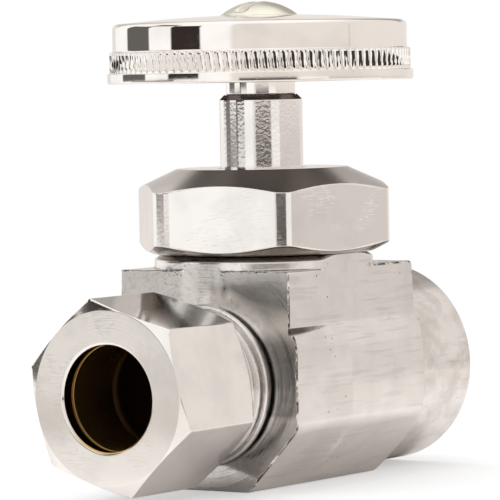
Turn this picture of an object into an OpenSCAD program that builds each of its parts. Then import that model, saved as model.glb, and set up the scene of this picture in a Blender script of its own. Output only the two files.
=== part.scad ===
// Straight-pattern supply stop valve: soldered pipe socket at one end, compression outlet at the
// other, and a handwheel on a screw-down stem. Millimetres. The origin is the centre of the inlet
// socket's mouth, +X leaves the socket along the pipe, and +Z is up the stem. Shown fully open.

/* [Inlet] */
// Outside diameter of the copper pipe that the inlet socket takes
pipe_d = 15.875; // [15.5:0.025:16]
// Outside diameter of the inlet barrel
barrel_d = 19.2; // [18.9:0.05:19.5]
// Depth of the inlet socket
socket_depth = 12.7; // [9:0.1:13]
// Distance from the socket's mouth to the stem's axis
stem_to_mouth = 21.8; // [21.5:0.1:26]

/* [Body] */
// Width of the body block beside the bonnet
block_w = 18.7; // [18:0.1:19.6]
// Width of the body block at the flow axis
waist_w = 20.2; // [20:0.1:21.4]
// Height of the block's top above the flow axis
block_top = 10.57; // [10:0.01:10.8]
// Depth of the block's base below the flow axis
block_base = 9.8; // [9.8:0.1:10.4]
// Width of the flat that the body stands on
base_w = 9.1; // [8:0.1:11]
// Diameter of the round boss under the bonnet
boss_d = 20.6; // [20:0.1:21]

/* [Outlet] */
// Outside diameter of the supply tube that the outlet takes
tube_d = 9.525; // [9.3:0.025:9.6]
// Width across the flats of the compression nut
nut_af = 15.875; // [15.7:0.025:17]
// Length of the compression nut
nut_length = 11.6; // [11.3:0.1:12.3]
// Outside diameter of the outlet thread
outlet_thread_d = 14.288; // [14.2:0.008:14.4]
// Turns of the outlet thread in 25.4 mm
outlet_tpi = 24; // [20:1:28]

/* [Bonnet] */
// Width across the flats of the packing nut
bonnet_af = 22.225; // [21.6:0.025:23]
// Outside diameter of the packing nut's thread
bonnet_thread_d = 15.76; // [15.6:0.02:16]

/* [Stem and handle] */
// Diameter of the plain stem in the packing nut
stem_d = 7.82; // [7.6:0.02:7.9]
// Rise of the stem in one turn of the handle
stem_pitch = 1.27; // [1:0.01:1.3]
// Turns of the handle from closed to open
open_turns = 3; // [2:0.5:3]
// Largest diameter of the handle
handle_d = 28.8; // [26:0.1:32]
// Number of ribs around the handle's grip
grip_ribs = 105; // [60:1:120]

/* [Hidden] */
$fn = 96;
// Overshoot of a cut past a face
cut = 1;
// Radial play of a running fit, and the gap between pieces that only rest on each other
play = 0.06;
rest_gap = 0.04;
inch = 25.4;
stem_x = -stem_to_mouth;

// Positions along X, measured from the stem's axis
block_front = -10.07;
block_rear = 11.4;
shoulder_run = 0.5;
shoulder_overlap = 0.3;
socket_floor = stem_to_mouth - socket_depth;
nut_rear = -14;
nut_front = nut_rear - nut_length;
spout_tip = -18.7;
tube_stop = -11.4;

// Inlet and outlet
barrel_r = barrel_d / 2;
socket_r = pipe_d / 2 + play;
inlet_way_r = 2.6;
inlet_way_z = -5.2;
port_r = 2.4;
inlet_way_overrun = 0.6;
inlet_way_end = -port_r - inlet_way_overrun;
outlet_way_r = 2.8;
outlet_way_z = 1.2;
tube_clearance = 0.09;
tube_r = tube_d / 2 + tube_clearance;
spout_thread_r = outlet_thread_d / 2;
outlet_pitch = inch / outlet_tpi;
spout_chamfer = 0.6 * outlet_pitch;
cone_slope = 0.75;
cone_depth = 1.2;
cone_r = tube_r + cone_depth;

// Block section
waist_top = 3.76;
waist_step = 5.37;
waist_base = -3.86;

// Boss, seat and the bore that carries the stem's thread
boss_edge_z = block_top + 0.82;
boss_top = block_top + 1.36;
boss_bevel = 0.78;
seat_z = 0;
seat_lip_r = 3.2;
chamber_r = 4.3;
moat_depth = 1.2;
stem_thread_r = 4.72;
thread_bore_r = stem_thread_r + play;
thread_bore_base = 2.4;
web_top = 8.4;
bonnet_bore_r = bonnet_thread_d / 2 + play;

// Packing nut
bonnet_r = bonnet_af / 2 / cos(30);
bonnet_corner_r = 2.4;
bonnet_turn = 42.7;
bonnet_top = boss_top + 7.89;
bonnet_flat_r = 8.02;
bonnet_seat_r = 10.5;
bonnet_cone_slope = 0.457;
bonnet_foot_slope = 0.49;
gasket_t = 0.8;
spigot_base = web_top + gasket_t + rest_gap;
stuffing_r = 5.65;
stuffing_top = bonnet_top - 2.4;
stem_r = stem_d / 2;
gland_r = stem_r + play;

// Pieces inside the packing nut, from the bottom up
packing_r = stuffing_r - rest_gap;
bushing_base = web_top + rest_gap;
bushing_shoulder = bushing_base + 2.6;
bushing_top = bushing_shoulder + 2;
friction_base = bushing_top + rest_gap;
friction_top = friction_base + 0.75;
packing_base = friction_top + rest_gap;
packing_top = stuffing_top - rest_gap;

// Stem at its open stop
travel = stem_pitch * open_turns;
washer_t = 1.75;
washer_base = seat_z + travel + rest_gap;
washer_top = washer_base + washer_t;
washer_r = 3.9;
stem_foot = washer_top + rest_gap;
stem_foot_r = 4;
stem_thread_base = stem_foot + 0.8;
thread_end_gap = 0.07;
stem_thread_top = bushing_shoulder - thread_end_gap;
neck_top = bonnet_top + 6.86;
neck_chamfer = 0.45;
spline_r = 2.6;
spline_depth = 0.25;
spline_teeth = 16;
spline_top = neck_top + 4.4;
small_screw_r = 1.4;
small_screw_top = stem_foot + 3.6;
small_head_r = 2.1;
small_head_t = 1.05;

// Handle
handle_r = handle_d / 2;
grip_inset = 0.24;
grip_r = handle_r - grip_inset;
wall_inset = 0.55;
wall_r = handle_r - wall_inset;
rib_depth = 0.3;
handle_base = neck_top + 1.22;
grip_base = handle_base + 0.99;
grip_top = handle_base + 2.97;
shoulder_z = handle_base + 5.62;
shoulder_r = 0.7;
dome_rise = 0.67;
hub_r = 3.27;
hub_root_r = 4.6;
skirt_t = 1.3;
web_t = 1.8;
handle_screw_r = 1.6;
handle_screw_foot = neck_top + 0.6;
head_r = 3.7;
head_rise = 1.35;
head_seat_z = shoulder_z + dome_rise * (1 - pow(head_r / (wall_r - shoulder_r), 2));
slot_w = 0.9;
slot_depth = 0.6;

// Compression nut
nut_r = nut_af / 2 / cos(30);
nut_turn = 16.8;
nut_chamfer = 0.45;
nut_face_r = 7.9;
nut_rear_chamfer = 0.68;
nut_rear_face_r = 7.4;
nut_hole_r = 4.93;
nut_wall = 1.3;
nut_cone_r = 6.4;
nut_bore_r = spout_thread_r + play;
sleeve_r = 6;
sleeve_end_r = 5.1;
sleeve_length = 6;
sleeve_bore_step = 0.02;
sleeve_bore_r = tube_r - sleeve_bore_step;
sleeve_gap = 0.075;

// Turns a shape drawn in X and Y, and raised along Z, to lie in Y and Z along +X
module along_x(x) {
    translate([stem_x + x, 0, 0]) rotate([90, 0, 90]) children();
}

// Places a shape on the stem's axis at height z
module on_stem(z) {
    translate([stem_x, 0, z]) children();
}

// A ring on the stem's axis whose foot is at height z
module ring(z, height, outer, inner) {
    on_stem(z) difference() {
        cylinder(h = height, r = outer);
        translate([0, 0, -cut]) cylinder(h = height + 2 * cut, r = inner);
    }
}

// One side of the block's outline, from the top corner down to the base
function block_side() = concat(
    [[block_w / 2, block_top]],
    [for (t = [0 : 1 / 8 : 1])
        [(block_w + (waist_w - block_w) * (1 - cos(180 * t)) / 2) / 2,
         waist_step + (waist_top - waist_step) * t]],
    [[waist_w / 2, waist_base], [base_w / 2, -block_base]]
);

function mirrored(points) = [for (i = [len(points) - 1 : -1 : 0]) [-points[i][0], points[i][1]]];

// A toothed outline: each tooth has a flat crest and a flat root
function toothed(teeth, outer, inner) = [
    for (i = [0 : teeth - 1], p = [[0.15, inner], [0.35, outer], [0.65, outer], [0.85, inner]])
        let (a = 360 * (i + p[0]) / teeth)
            p[1] * [cos(a), sin(a)]
];

module block() {
    outline = concat(block_side(), mirrored(block_side()));
    corner_r = norm([block_w / 2, block_top]) + cut;
    intersection() {
        along_x(block_front) linear_extrude(block_rear + shoulder_run - block_front) polygon(outline);
        union() {
            along_x(block_front) cylinder(h = block_rear - block_front, r = corner_r);
            along_x(block_rear) cylinder(h = shoulder_run, r1 = corner_r, r2 = barrel_r - shoulder_overlap);
        }
    }
}

module boss() {
    intersection() {
        on_stem(0) rotate_extrude() polygon([
            [0, 0], [boss_d / 2, 0], [boss_d / 2, boss_edge_z], [boss_d / 2 - boss_bevel, boss_top],
            [0, boss_top]
        ]);
        on_stem(0) translate([-boss_d / 2, -block_w / 2, 0]) cube([boss_d, block_w, boss_top]);
    }
}

module barrel() {
    edge = 0.35;
    along_x(0) cylinder(h = stem_to_mouth - edge, r = barrel_r);
    along_x(stem_to_mouth - edge) cylinder(h = edge, r1 = barrel_r, r2 = barrel_r - edge);
}

// The outlet's threaded spout, plain at the diameter of the thread's crests
module spout() {
    length = block_front - spout_tip;
    along_x(block_front) mirror([0, 0, 1]) rotate_extrude() polygon([
        [0, -cut], [spout_thread_r, -cut], [spout_thread_r, length - spout_chamfer],
        [spout_thread_r - spout_chamfer, length], [0, length]
    ]);
}

module inlet_passages() {
    along_x(socket_floor) cylinder(h = socket_depth + cut, r = socket_r);
    translate([0, 0, inlet_way_z]) along_x(inlet_way_end)
        cylinder(h = socket_floor - inlet_way_end + cut, r = inlet_way_r);
    on_stem(inlet_way_z) cylinder(h = seat_z - inlet_way_z + cut, r = port_r);
}

module stem_bores() {
    on_stem(seat_z) cylinder(h = boss_top, r = chamber_r);
    ring(seat_z - moat_depth, moat_depth + cut, chamber_r, seat_lip_r);
    on_stem(thread_bore_base) cylinder(h = boss_top, r = thread_bore_r);
    on_stem(web_top) cylinder(h = boss_top, r = bonnet_bore_r);
}

module outlet_passages() {
    cone_run = (cone_r - tube_r) / cone_slope;
    along_x(spout_tip) cylinder(h = tube_stop - spout_tip, r = tube_r);
    along_x(spout_tip - cut) cylinder(h = cut, r = cone_r);
    along_x(spout_tip) cylinder(h = cone_run, r1 = cone_r, r2 = tube_r);
    translate([0, 0, outlet_way_z]) along_x(tube_stop - cut)
        cylinder(h = cut - tube_stop - seat_lip_r, r = outlet_way_r);
}

module valve_body() {
    color("gainsboro") difference() {
        union() {
            block();
            boss();
            barrel();
            spout();
        }
        inlet_passages();
        stem_bores();
        outlet_passages();
    }
}

// Envelope of the packing nut's hexagon: a flat top and foot with cones that cut its corners
module bonnet_envelope() {
    height = bonnet_top - boss_top;
    top_run = (bonnet_r + cut - bonnet_flat_r) * bonnet_cone_slope;
    foot_run = (bonnet_r + cut - bonnet_seat_r) * bonnet_foot_slope;
    on_stem(boss_top) rotate_extrude() polygon([
        [0, 0], [bonnet_seat_r, 0], [bonnet_r + cut, foot_run], [bonnet_r + cut, height - top_run],
        [bonnet_flat_r, height], [0, height]
    ]);
}

module packing_nut() {
    color("gainsboro") difference() {
        union() {
            intersection() {
                bonnet_envelope();
                on_stem(boss_top) linear_extrude(bonnet_top - boss_top) rotate(bonnet_turn)
                    offset(r = bonnet_corner_r) circle(r = bonnet_r - bonnet_corner_r / cos(30), $fn = 6);
            }
            on_stem(spigot_base) cylinder(h = boss_top - spigot_base + cut, r = bonnet_thread_d / 2);
        }
        on_stem(spigot_base - cut) cylinder(h = stuffing_top - spigot_base + cut, r = stuffing_r);
        on_stem(spigot_base) cylinder(h = bonnet_top - spigot_base + cut, r = gland_r);
    }
}

module nut_gasket() {
    color("firebrick") ring(web_top + rest_gap / 2, gasket_t, bonnet_thread_d / 2, stuffing_r);
}

module gland_bushing() {
    color("goldenrod") difference() {
        on_stem(bushing_base) cylinder(h = bushing_top - bushing_base, r = packing_r);
        on_stem(bushing_base - cut) cylinder(h = bushing_shoulder - bushing_base + cut, r = thread_bore_r);
        on_stem(bushing_base) cylinder(h = bushing_top, r = gland_r);
    }
}

module friction_ring() {
    color("ivory") ring(friction_base, friction_top - friction_base, packing_r, gland_r);
}

module stem_packing() {
    color("dimgray") ring(packing_base, packing_top - packing_base, packing_r, stem_r + rest_gap);
}

module stem() {
    color("gainsboro") difference() {
        union() {
            on_stem(stem_foot) cylinder(h = stem_thread_base - stem_foot, r = stem_foot_r);
            on_stem(stem_thread_base) cylinder(h = stem_thread_top - stem_thread_base, r = stem_thread_r);
            on_stem(stem_thread_top) cylinder(h = neck_top - neck_chamfer - stem_thread_top, r = stem_r);
            on_stem(neck_top - neck_chamfer)
                cylinder(h = neck_chamfer, r1 = stem_r, r2 = stem_r - neck_chamfer);
            on_stem(neck_top) linear_extrude(spline_top - neck_top)
                polygon(toothed(spline_teeth, spline_r, spline_r - spline_depth));
        }
        on_stem(stem_foot - cut) cylinder(h = small_screw_top - stem_foot + cut, r = small_screw_r);
        on_stem(handle_screw_foot) cylinder(h = spline_top - handle_screw_foot + cut, r = handle_screw_r);
    }
}

module seat_washer() {
    color("dimgray") ring(washer_base, washer_t, washer_r, small_screw_r + rest_gap);
}

// A screw head's straight slot
module driver_slot(length, top) {
    on_stem(top - slot_depth) translate([-length / 2, -slot_w / 2, 0])
        cube([length, slot_w, slot_depth + cut]);
}

module seat_washer_screw() {
    head_top = washer_base - rest_gap;
    color("goldenrod") difference() {
        union() {
            on_stem(head_top - small_head_t) cylinder(h = small_head_t, r = small_head_r);
            on_stem(head_top - rest_gap)
                cylinder(h = small_screw_top - head_top, r = small_screw_r - rest_gap / 2);
        }
        driver_slot(2 * small_head_r + cut, head_top - small_head_t + slot_depth / 2);
    }
}

// Profile of the wheel's outside: flange, grip, wall, rounded shoulder and shallow dome
function wheel_profile() = concat(
    [[0, handle_base], [handle_r, handle_base], [handle_r, grip_base], [wall_r, grip_base],
     [wall_r, shoulder_z - shoulder_r]],
    [for (a = [15 : 15 : 75]) [wall_r - shoulder_r * (1 - cos(a)), shoulder_z - shoulder_r * (1 - sin(a))]],
    [for (t = [0 : 1 / 8 : 1])
        [(wall_r - shoulder_r) * (1 - t), shoulder_z + dome_rise * (1 - pow(1 - t, 2))]]
);

module handle() {
    cavity_top = shoulder_z - web_t;
    color("gainsboro") difference() {
        union() {
            difference() {
                on_stem(0) rotate_extrude() polygon(wheel_profile());
                on_stem(handle_base - cut)
                    cylinder(h = cavity_top - handle_base + cut, r = wall_r - skirt_t);
            }
            on_stem(grip_base) linear_extrude(grip_top - grip_base) difference() {
                polygon(toothed(grip_ribs, grip_r, grip_r - rib_depth));
                circle(r = wall_r - skirt_t / 2);
            }
            on_stem(neck_top) cylinder(h = cavity_top - neck_top, r = hub_r);
            on_stem(handle_base + rest_gap)
                cylinder(h = cavity_top - handle_base, r1 = hub_r, r2 = hub_root_r);
        }
        on_stem(neck_top - cut) linear_extrude(spline_top + rest_gap - neck_top + cut)
            polygon(toothed(spline_teeth, spline_r + rest_gap, spline_r - spline_depth + rest_gap));
        on_stem(neck_top) cylinder(h = shoulder_z + dome_rise, r = handle_screw_r + play);
        on_stem(head_seat_z) cylinder(h = dome_rise, r = head_r + rest_gap);
    }
}

module handle_screw() {
    sphere_r = (head_r * head_r + head_rise * head_rise) / (2 * head_rise);
    color("gainsboro") difference() {
        union() {
            intersection() {
                on_stem(head_seat_z + head_rise - sphere_r) sphere(r = sphere_r);
                on_stem(head_seat_z) cylinder(h = head_rise, r = head_r);
            }
            on_stem(handle_screw_foot + rest_gap)
                cylinder(h = head_seat_z - handle_screw_foot, r = handle_screw_r - rest_gap / 2);
        }
        driver_slot(2 * head_r + cut, head_seat_z + head_rise);
    }
}

module outlet_nut() {
    cone_run = (nut_cone_r - nut_hole_r) / cone_slope;
    corner_cut = (nut_r + cut - nut_face_r) * nut_chamfer;
    rear_cut = (nut_r + cut - nut_rear_face_r) * nut_rear_chamfer;
    color("gainsboro") difference() {
        intersection() {
            along_x(nut_front) rotate(nut_turn) cylinder(h = nut_length, r = nut_r, $fn = 6);
            along_x(nut_front) rotate_extrude() polygon([
                [0, 0], [nut_face_r, 0], [nut_r + cut, corner_cut],
                [nut_r + cut, nut_length - rear_cut], [nut_rear_face_r, nut_length], [0, nut_length]
            ]);
        }
        along_x(nut_front) rotate_extrude() polygon([
            [0, -cut], [nut_hole_r, -cut], [nut_hole_r, nut_wall], [nut_cone_r, nut_wall + cone_run],
            [nut_bore_r, nut_wall + cone_run], [nut_bore_r, nut_length + cut], [0, nut_length + cut]
        ]);
    }
}

module outlet_sleeve() {
    front = nut_front + nut_wall + (sleeve_end_r - nut_hole_r) / cone_slope + sleeve_gap;
    taper = (sleeve_r - sleeve_end_r) / cone_slope;
    color("goldenrod") along_x(front) rotate_extrude() polygon([
        [sleeve_bore_r, 0], [sleeve_end_r, 0], [sleeve_r, taper], [sleeve_r, sleeve_length - taper],
        [sleeve_end_r, sleeve_length], [sleeve_bore_r, sleeve_length]
    ]);
}

valve_body();
packing_nut();
nut_gasket();
gland_bushing();
friction_ring();
stem_packing();
stem();
seat_washer();
seat_washer_screw();
handle();
handle_screw();
outlet_nut();
outlet_sleeve();
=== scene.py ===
"""Straight supply stop valve: plated brass body, compression nut, packing nut, stem and handwheel.

Lengths are millimetres in the CAD frame until a mesh is made. "s" is a distance along X from the
stem's axis, so the inlet socket lies at positive s and the compression nut at negative s.
"""

import math

import bpy
import numpy as np
from mathutils import Matrix, Vector


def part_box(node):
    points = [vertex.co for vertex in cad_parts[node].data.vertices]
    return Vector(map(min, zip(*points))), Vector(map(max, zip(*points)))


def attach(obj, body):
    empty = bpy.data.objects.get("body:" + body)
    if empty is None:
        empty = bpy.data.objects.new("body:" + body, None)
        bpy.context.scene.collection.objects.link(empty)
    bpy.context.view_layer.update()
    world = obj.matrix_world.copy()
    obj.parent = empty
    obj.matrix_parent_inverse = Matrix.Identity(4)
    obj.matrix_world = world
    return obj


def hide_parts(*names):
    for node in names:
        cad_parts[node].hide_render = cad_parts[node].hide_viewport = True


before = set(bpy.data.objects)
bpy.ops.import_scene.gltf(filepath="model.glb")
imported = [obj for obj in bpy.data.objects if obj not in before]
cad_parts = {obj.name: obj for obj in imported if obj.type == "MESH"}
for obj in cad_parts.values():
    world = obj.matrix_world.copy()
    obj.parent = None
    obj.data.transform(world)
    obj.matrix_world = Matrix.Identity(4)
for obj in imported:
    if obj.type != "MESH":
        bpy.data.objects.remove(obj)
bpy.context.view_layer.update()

MM = 0.001
INCH = 25.4
DIAGONAL = 0.7071


def box_mm(node):
    low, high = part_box(node)
    return np.array(low) / MM, np.array(high) / MM


BODY_LOW, BODY_HIGH = box_mm("valve_body")
NUT_LOW, NUT_HIGH = box_mm("outlet_nut")
BONNET_LOW, BONNET_HIGH = box_mm("packing_nut")
STEM_LOW, STEM_HIGH = box_mm("stem")
SCREW_LOW, SCREW_HIGH = box_mm("handle_screw")
SLEEVE_LOW, SLEEVE_HIGH = box_mm("outlet_sleeve")

STEM_X = (STEM_LOW[0] + STEM_HIGH[0]) / 2
MOUTH = BODY_HIGH[0] - STEM_X
SPOUT_TIP = BODY_LOW[0] - STEM_X
FLOOR_Z = BODY_LOW[2]


# -------- camera

CAMERA_AT = Vector((-0.330781, -0.206845, 0.029459))
CAMERA_TARGET = Vector((-0.022515, 0.001061, 0.012042))
CAMERA_ROLL = math.radians(-1.1186)
CAMERA_LENS = 284.03


def make_camera():
    data = bpy.data.cameras.new("camera")
    data.lens = CAMERA_LENS
    data.sensor_width = 36.0
    data.clip_start = 0.01
    data.clip_end = 20.0
    camera = bpy.data.objects.new("camera", data)
    bpy.context.scene.collection.objects.link(camera)
    forward = (CAMERA_TARGET - CAMERA_AT).normalized()
    level = forward.cross(Vector((0, 0, 1))).normalized()
    upright = level.cross(forward)
    right = level * math.cos(CAMERA_ROLL) + upright * math.sin(CAMERA_ROLL)
    up = right.cross(forward)
    turn = Matrix((right, up, -forward)).transposed().to_4x4()
    camera.matrix_world = Matrix.Translation(CAMERA_AT) @ turn
    bpy.context.scene.camera = camera


make_camera()


# -------- mesh tools

def vertex_normals(points, faces):
    """Normals at the points, weighted by the area of the faces around them."""
    faces = np.asarray(faces)
    a = points[faces[:, 2]] - points[faces[:, 0]]
    b = points[faces[:, 3]] - points[faces[:, 1]]
    face_normals = np.cross(a, b)
    total = np.zeros_like(points)
    for corner in range(4):
        for axis in range(3):
            total[:, axis] += np.bincount(
                faces[:, corner], face_normals[:, axis], minlength=len(points))
    size = np.linalg.norm(total, axis=1, keepdims=True)
    return total / np.maximum(size, 1e-12)


def make_piece(name, points, faces, body, node, material, marks=None, normals=None):
    """A smooth mesh of quads, or of triangles whose last two corners are the same, in millimetres."""
    faces = outward(points, faces)
    if normals is None:
        normals = vertex_normals(points, faces)
    mesh = bpy.data.meshes.new(name)
    corner_lists = [tuple(dict.fromkeys(face)) for face in np.asarray(faces).tolist()]
    mesh.from_pydata((points * MM).tolist(), [], corner_lists)
    mesh.polygons.foreach_set("use_smooth", [True] * len(mesh.polygons))
    for mark, values in (marks or {}).items():
        layer = mesh.attributes.new(mark, "FLOAT", "POINT")
        layer.data.foreach_set("value", np.asarray(values, dtype=np.float32))
    mesh.update()
    mesh.normals_split_custom_set_from_vertices(normals.tolist())
    mesh.materials.append(material)
    piece = bpy.data.objects.new(name, mesh)
    bpy.context.scene.collection.objects.link(piece)
    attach(piece, body)
    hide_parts(node)


def rounded_path(corners, closed=True):
    """Points along a path of (a, b, radius) corners, each turned into an arc of its radius."""
    corners = [np.array(c, float) for c in corners]
    count = len(corners)
    path = []
    for i, (a, b, radius) in enumerate(corners):
        here = np.array([a, b])
        if radius <= 0 or (not closed and i in (0, count - 1)):
            path.append(here)
            continue
        back = corners[i - 1][:2] - here
        ahead = corners[(i + 1) % count][:2] - here
        back_length, ahead_length = np.linalg.norm(back), np.linalg.norm(ahead)
        back, ahead = back / back_length, ahead / ahead_length
        half = math.acos(np.clip(np.dot(back, ahead), -1, 1)) / 2
        if half > math.radians(89):
            path.append(here)
            continue
        reach = min(radius / math.tan(half), 0.49 * back_length, 0.49 * ahead_length)
        radius = reach * math.tan(half)
        middle = here + (back + ahead) / np.linalg.norm(back + ahead) * radius / math.sin(half)
        start, end = here + back * reach - middle, here + ahead * reach - middle
        first = math.atan2(start[1], start[0])
        turn = (math.atan2(end[1], end[0]) - first + math.pi) % (2 * math.pi) - math.pi
        steps = max(3, int(abs(turn) / math.radians(15)) + 1)
        for k in range(steps + 1):
            angle = first + turn * k / steps
            path.append(middle + radius * np.array([math.cos(angle), math.sin(angle)]))
    return np.array(path)


def refined(path, step, closed=True):
    """The path with no stretch longer than step."""
    out = []
    for i in range(len(path) if closed else len(path) - 1):
        a, b = path[i], path[(i + 1) % len(path)]
        pieces = max(1, math.ceil(np.linalg.norm(b - a) / step))
        out.extend(a + (b - a) * k / pieces for k in range(pieces))
    if not closed:
        out.append(path[-1])
    return np.array(out)


def revolve(path, angles, closed=True, radius_at=None):
    """Grid of a path of (height, radius) turned through the angles, as (height, radius, angle).

    radius_at changes the radius by (height, radius, angle). An open path starts and ends on the axis.
    """
    heights = np.repeat(path[:, 0][:, None], len(angles), 1)
    radii = np.repeat(path[:, 1][:, None], len(angles), 1)
    turns = np.repeat(np.asarray(angles)[None, :], len(path), 0)
    if radius_at is not None:
        radii = radius_at(heights, radii, turns)
    rows, columns = heights.shape
    index = np.arange(rows * columns).reshape(rows, columns)
    upper = index if closed else index[:-1]
    lower = np.roll(index, -1, 0) if closed else index[1:]
    faces = np.stack(
        [upper, np.roll(upper, -1, 1), np.roll(lower, -1, 1), lower], -1).reshape(-1, 4)
    grid = np.stack([heights.ravel(), radii.ravel(), turns.ravel()], 1)
    if closed:
        return grid, faces
    # Each end's ring of points on the axis becomes one point
    keep = np.arange(rows * columns)
    keep[:columns] = 0
    keep[-columns:] = (rows - 1) * columns
    faces = keep[faces]
    used, renumbered = np.unique(faces, return_inverse=True)
    faces = renumbered.reshape(faces.shape)
    # A triangle repeats its last corner
    for k in range(4):
        same = faces[:, k] == faces[:, (k + 1) % 4]
        faces[same] = np.roll(faces[same], -(k + 2), 1)
    return grid[used], faces


def upright_points(grid):
    """Points of a revolved grid whose axis is the stem's."""
    height, radius, angle = grid.T
    return np.stack([STEM_X + radius * np.cos(angle), radius * np.sin(angle), height], 1)


def lying_points(grid):
    """Points of a revolved grid whose axis is the flow's; heights are s, angles run from +Y to +Z."""
    s, radius, angle = grid.T
    return np.stack([STEM_X + s, radius * np.cos(angle), radius * np.sin(angle)], 1)


def outward(points, faces):
    """The faces turned so that they look out of the closed mesh."""
    a, b, c, d = (points[faces[:, k]] for k in range(4))
    volume = np.einsum("ij,ij->i", a, np.cross(b, c)).sum()
    volume += np.einsum("ij,ij->i", a, np.cross(c, d)).sum()
    return faces if volume > 0 else faces[:, ::-1]


def soft_min(a, b, width):
    blend = np.clip(0.5 + 0.5 * (b - a) / width, 0, 1)
    return b + (a - b) * blend - width * blend * (1 - blend)


def soft_max(a, b, width):
    return -soft_min(-a, -b, width)


def smoothstep(low, high, value):
    t = np.clip((value - low) / (high - low), 0, 1)
    return t * t * (3 - 2 * t)


def hexagon_radius(angle, across_flats, corner_angle, corner_radius):
    """Distance from the axis to a hexagon with rounded corners, one of them at corner_angle."""
    apothem = across_flats / 2
    circumradius = apothem / math.cos(math.pi / 6)
    off = (angle - corner_angle + math.pi / 6) % (math.pi / 3) - math.pi / 6
    off = np.abs(off)
    flat = apothem / np.cos(math.pi / 6 - off)
    reach = corner_radius * math.tan(math.pi / 6)
    tangent = math.atan2(reach * math.sin(math.pi / 3), circumradius - reach * math.cos(math.pi / 3))
    middle = circumradius - corner_radius / math.cos(math.pi / 6)
    arc = middle * np.cos(off) + np.sqrt(
        np.maximum(corner_radius ** 2 - (middle * np.sin(off)) ** 2, 0))
    return np.where(off < tangent, arc, flat)


def hexagon_angles(corner_angle, corner_half, corner_steps, flat_steps):
    """Angles round a hexagon, close together within corner_half of each corner."""
    angles = []
    for side in range(6):
        start = corner_angle + side * math.pi / 3
        angles.extend(start + corner_half * (2 * k / corner_steps - 1) for k in range(corner_steps))
        span = math.pi / 3 - 2 * corner_half
        angles.extend(start + corner_half + span * k / flat_steps for k in range(flat_steps))
    return np.array(angles)


def thread_shape(turns):
    """Depth of a thread, 0 at its crest and 1 at its root, by turns along it."""
    phase = np.abs((turns % 1) * 2 - 1)
    return smoothstep(0.12, 0.88, phase)


# -------- body

BLOCK_FRONT = -10.07
BLOCK_REAR = 11.4
BLOCK_HALF = 9.35
BLOCK_TOP = 10.57
WAIST_HALF = 10.1
WAIST_TOP = 3.1
WAIST_STEP = 5.37
WAIST_EASE = 2.4
WAIST_BASE = -3.86
WAIST_EDGE = 0.5
BASE_HALF = 4.55
BASE_Z = FLOOR_Z
EDGE = 0.16
FRONT_EDGE = 0.06
BURR_HEIGHT = 0.035
BURR_REACH = 0.25
SHOULDER_RUN = 0.5
SHOULDER_SINK = 0.3
BARREL_R = 9.6
BARREL_FILLET = 1.5
SOCKET_R = 7.9975
SOCKET_FLOOR = 9.1
SOCKET_CHAMFER = 0.3
BOSS_R = 10.3
BOSS_EDGE_Z = 11.39
BOSS_TOP = BONNET_HIGH[2] - 7.89
BOSS_TOP_R = 9.52
SPOUT_R = 7.144
SPOUT_PITCH = INCH / 24
SPOUT_THREAD_DEPTH = 0.56
SPOUT_RELIEF = -11.45
SPOUT_CHAMFER = 0.6
COLLAR_R = 7.5
COLLAR_FRONT = -11.12
COLLAR_REAR = -10.55
TUBE_R = 4.8525
TUBE_STOP = -11.4
CONE_R = TUBE_R + 1.2
CONE_SLOPE = 0.75
OUTLET_WAY_R = 2.8
OUTLET_WAY_Z = 1.2
INLET_WAY_R = 2.6
INLET_WAY_Z = -5.2
PORT_R = 2.4
INLET_WAY_END = -PORT_R - 0.6
CHAMBER_R = 4.3
MOAT_DEPTH = 1.2
SEAT_LIP_R = 3.2
THREAD_BORE_R = 4.78
THREAD_BORE_BASE = 2.4
WEB_TOP = 8.4
BONNET_BORE_R = 7.94


def slab(value, low, high):
    return np.maximum(low - value, value - high)


def side_distance(y, z):
    """Distance outside the block's side, which steps out to the waist."""
    up = np.clip((z - WAIST_TOP) / (WAIST_STEP - WAIST_TOP), 0, 1)
    side = np.abs(y) - WAIST_HALF + (WAIST_HALF - BLOCK_HALF) * up ** WAIST_EASE
    run, fall = WAIST_HALF - BASE_HALF, WAIST_BASE - BASE_Z
    slant = (np.abs(y) - WAIST_HALF) * fall + (WAIST_BASE - z) * run
    return soft_max(side, slant / math.hypot(run, fall), WAIST_EDGE)


def burr(y, z):
    """Small unevenness of a sheared edge."""
    waves = 0.6 * np.sin(5.3 * z + 1.7 * y) + 0.7 * np.sin(9.1 * z - 7.3 * y + 1.0)
    return waves + np.sin(16.7 * z + 13.9 * y + 2.0) + 0.8 * np.sin(25.0 * z - 21.0 * y)


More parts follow.
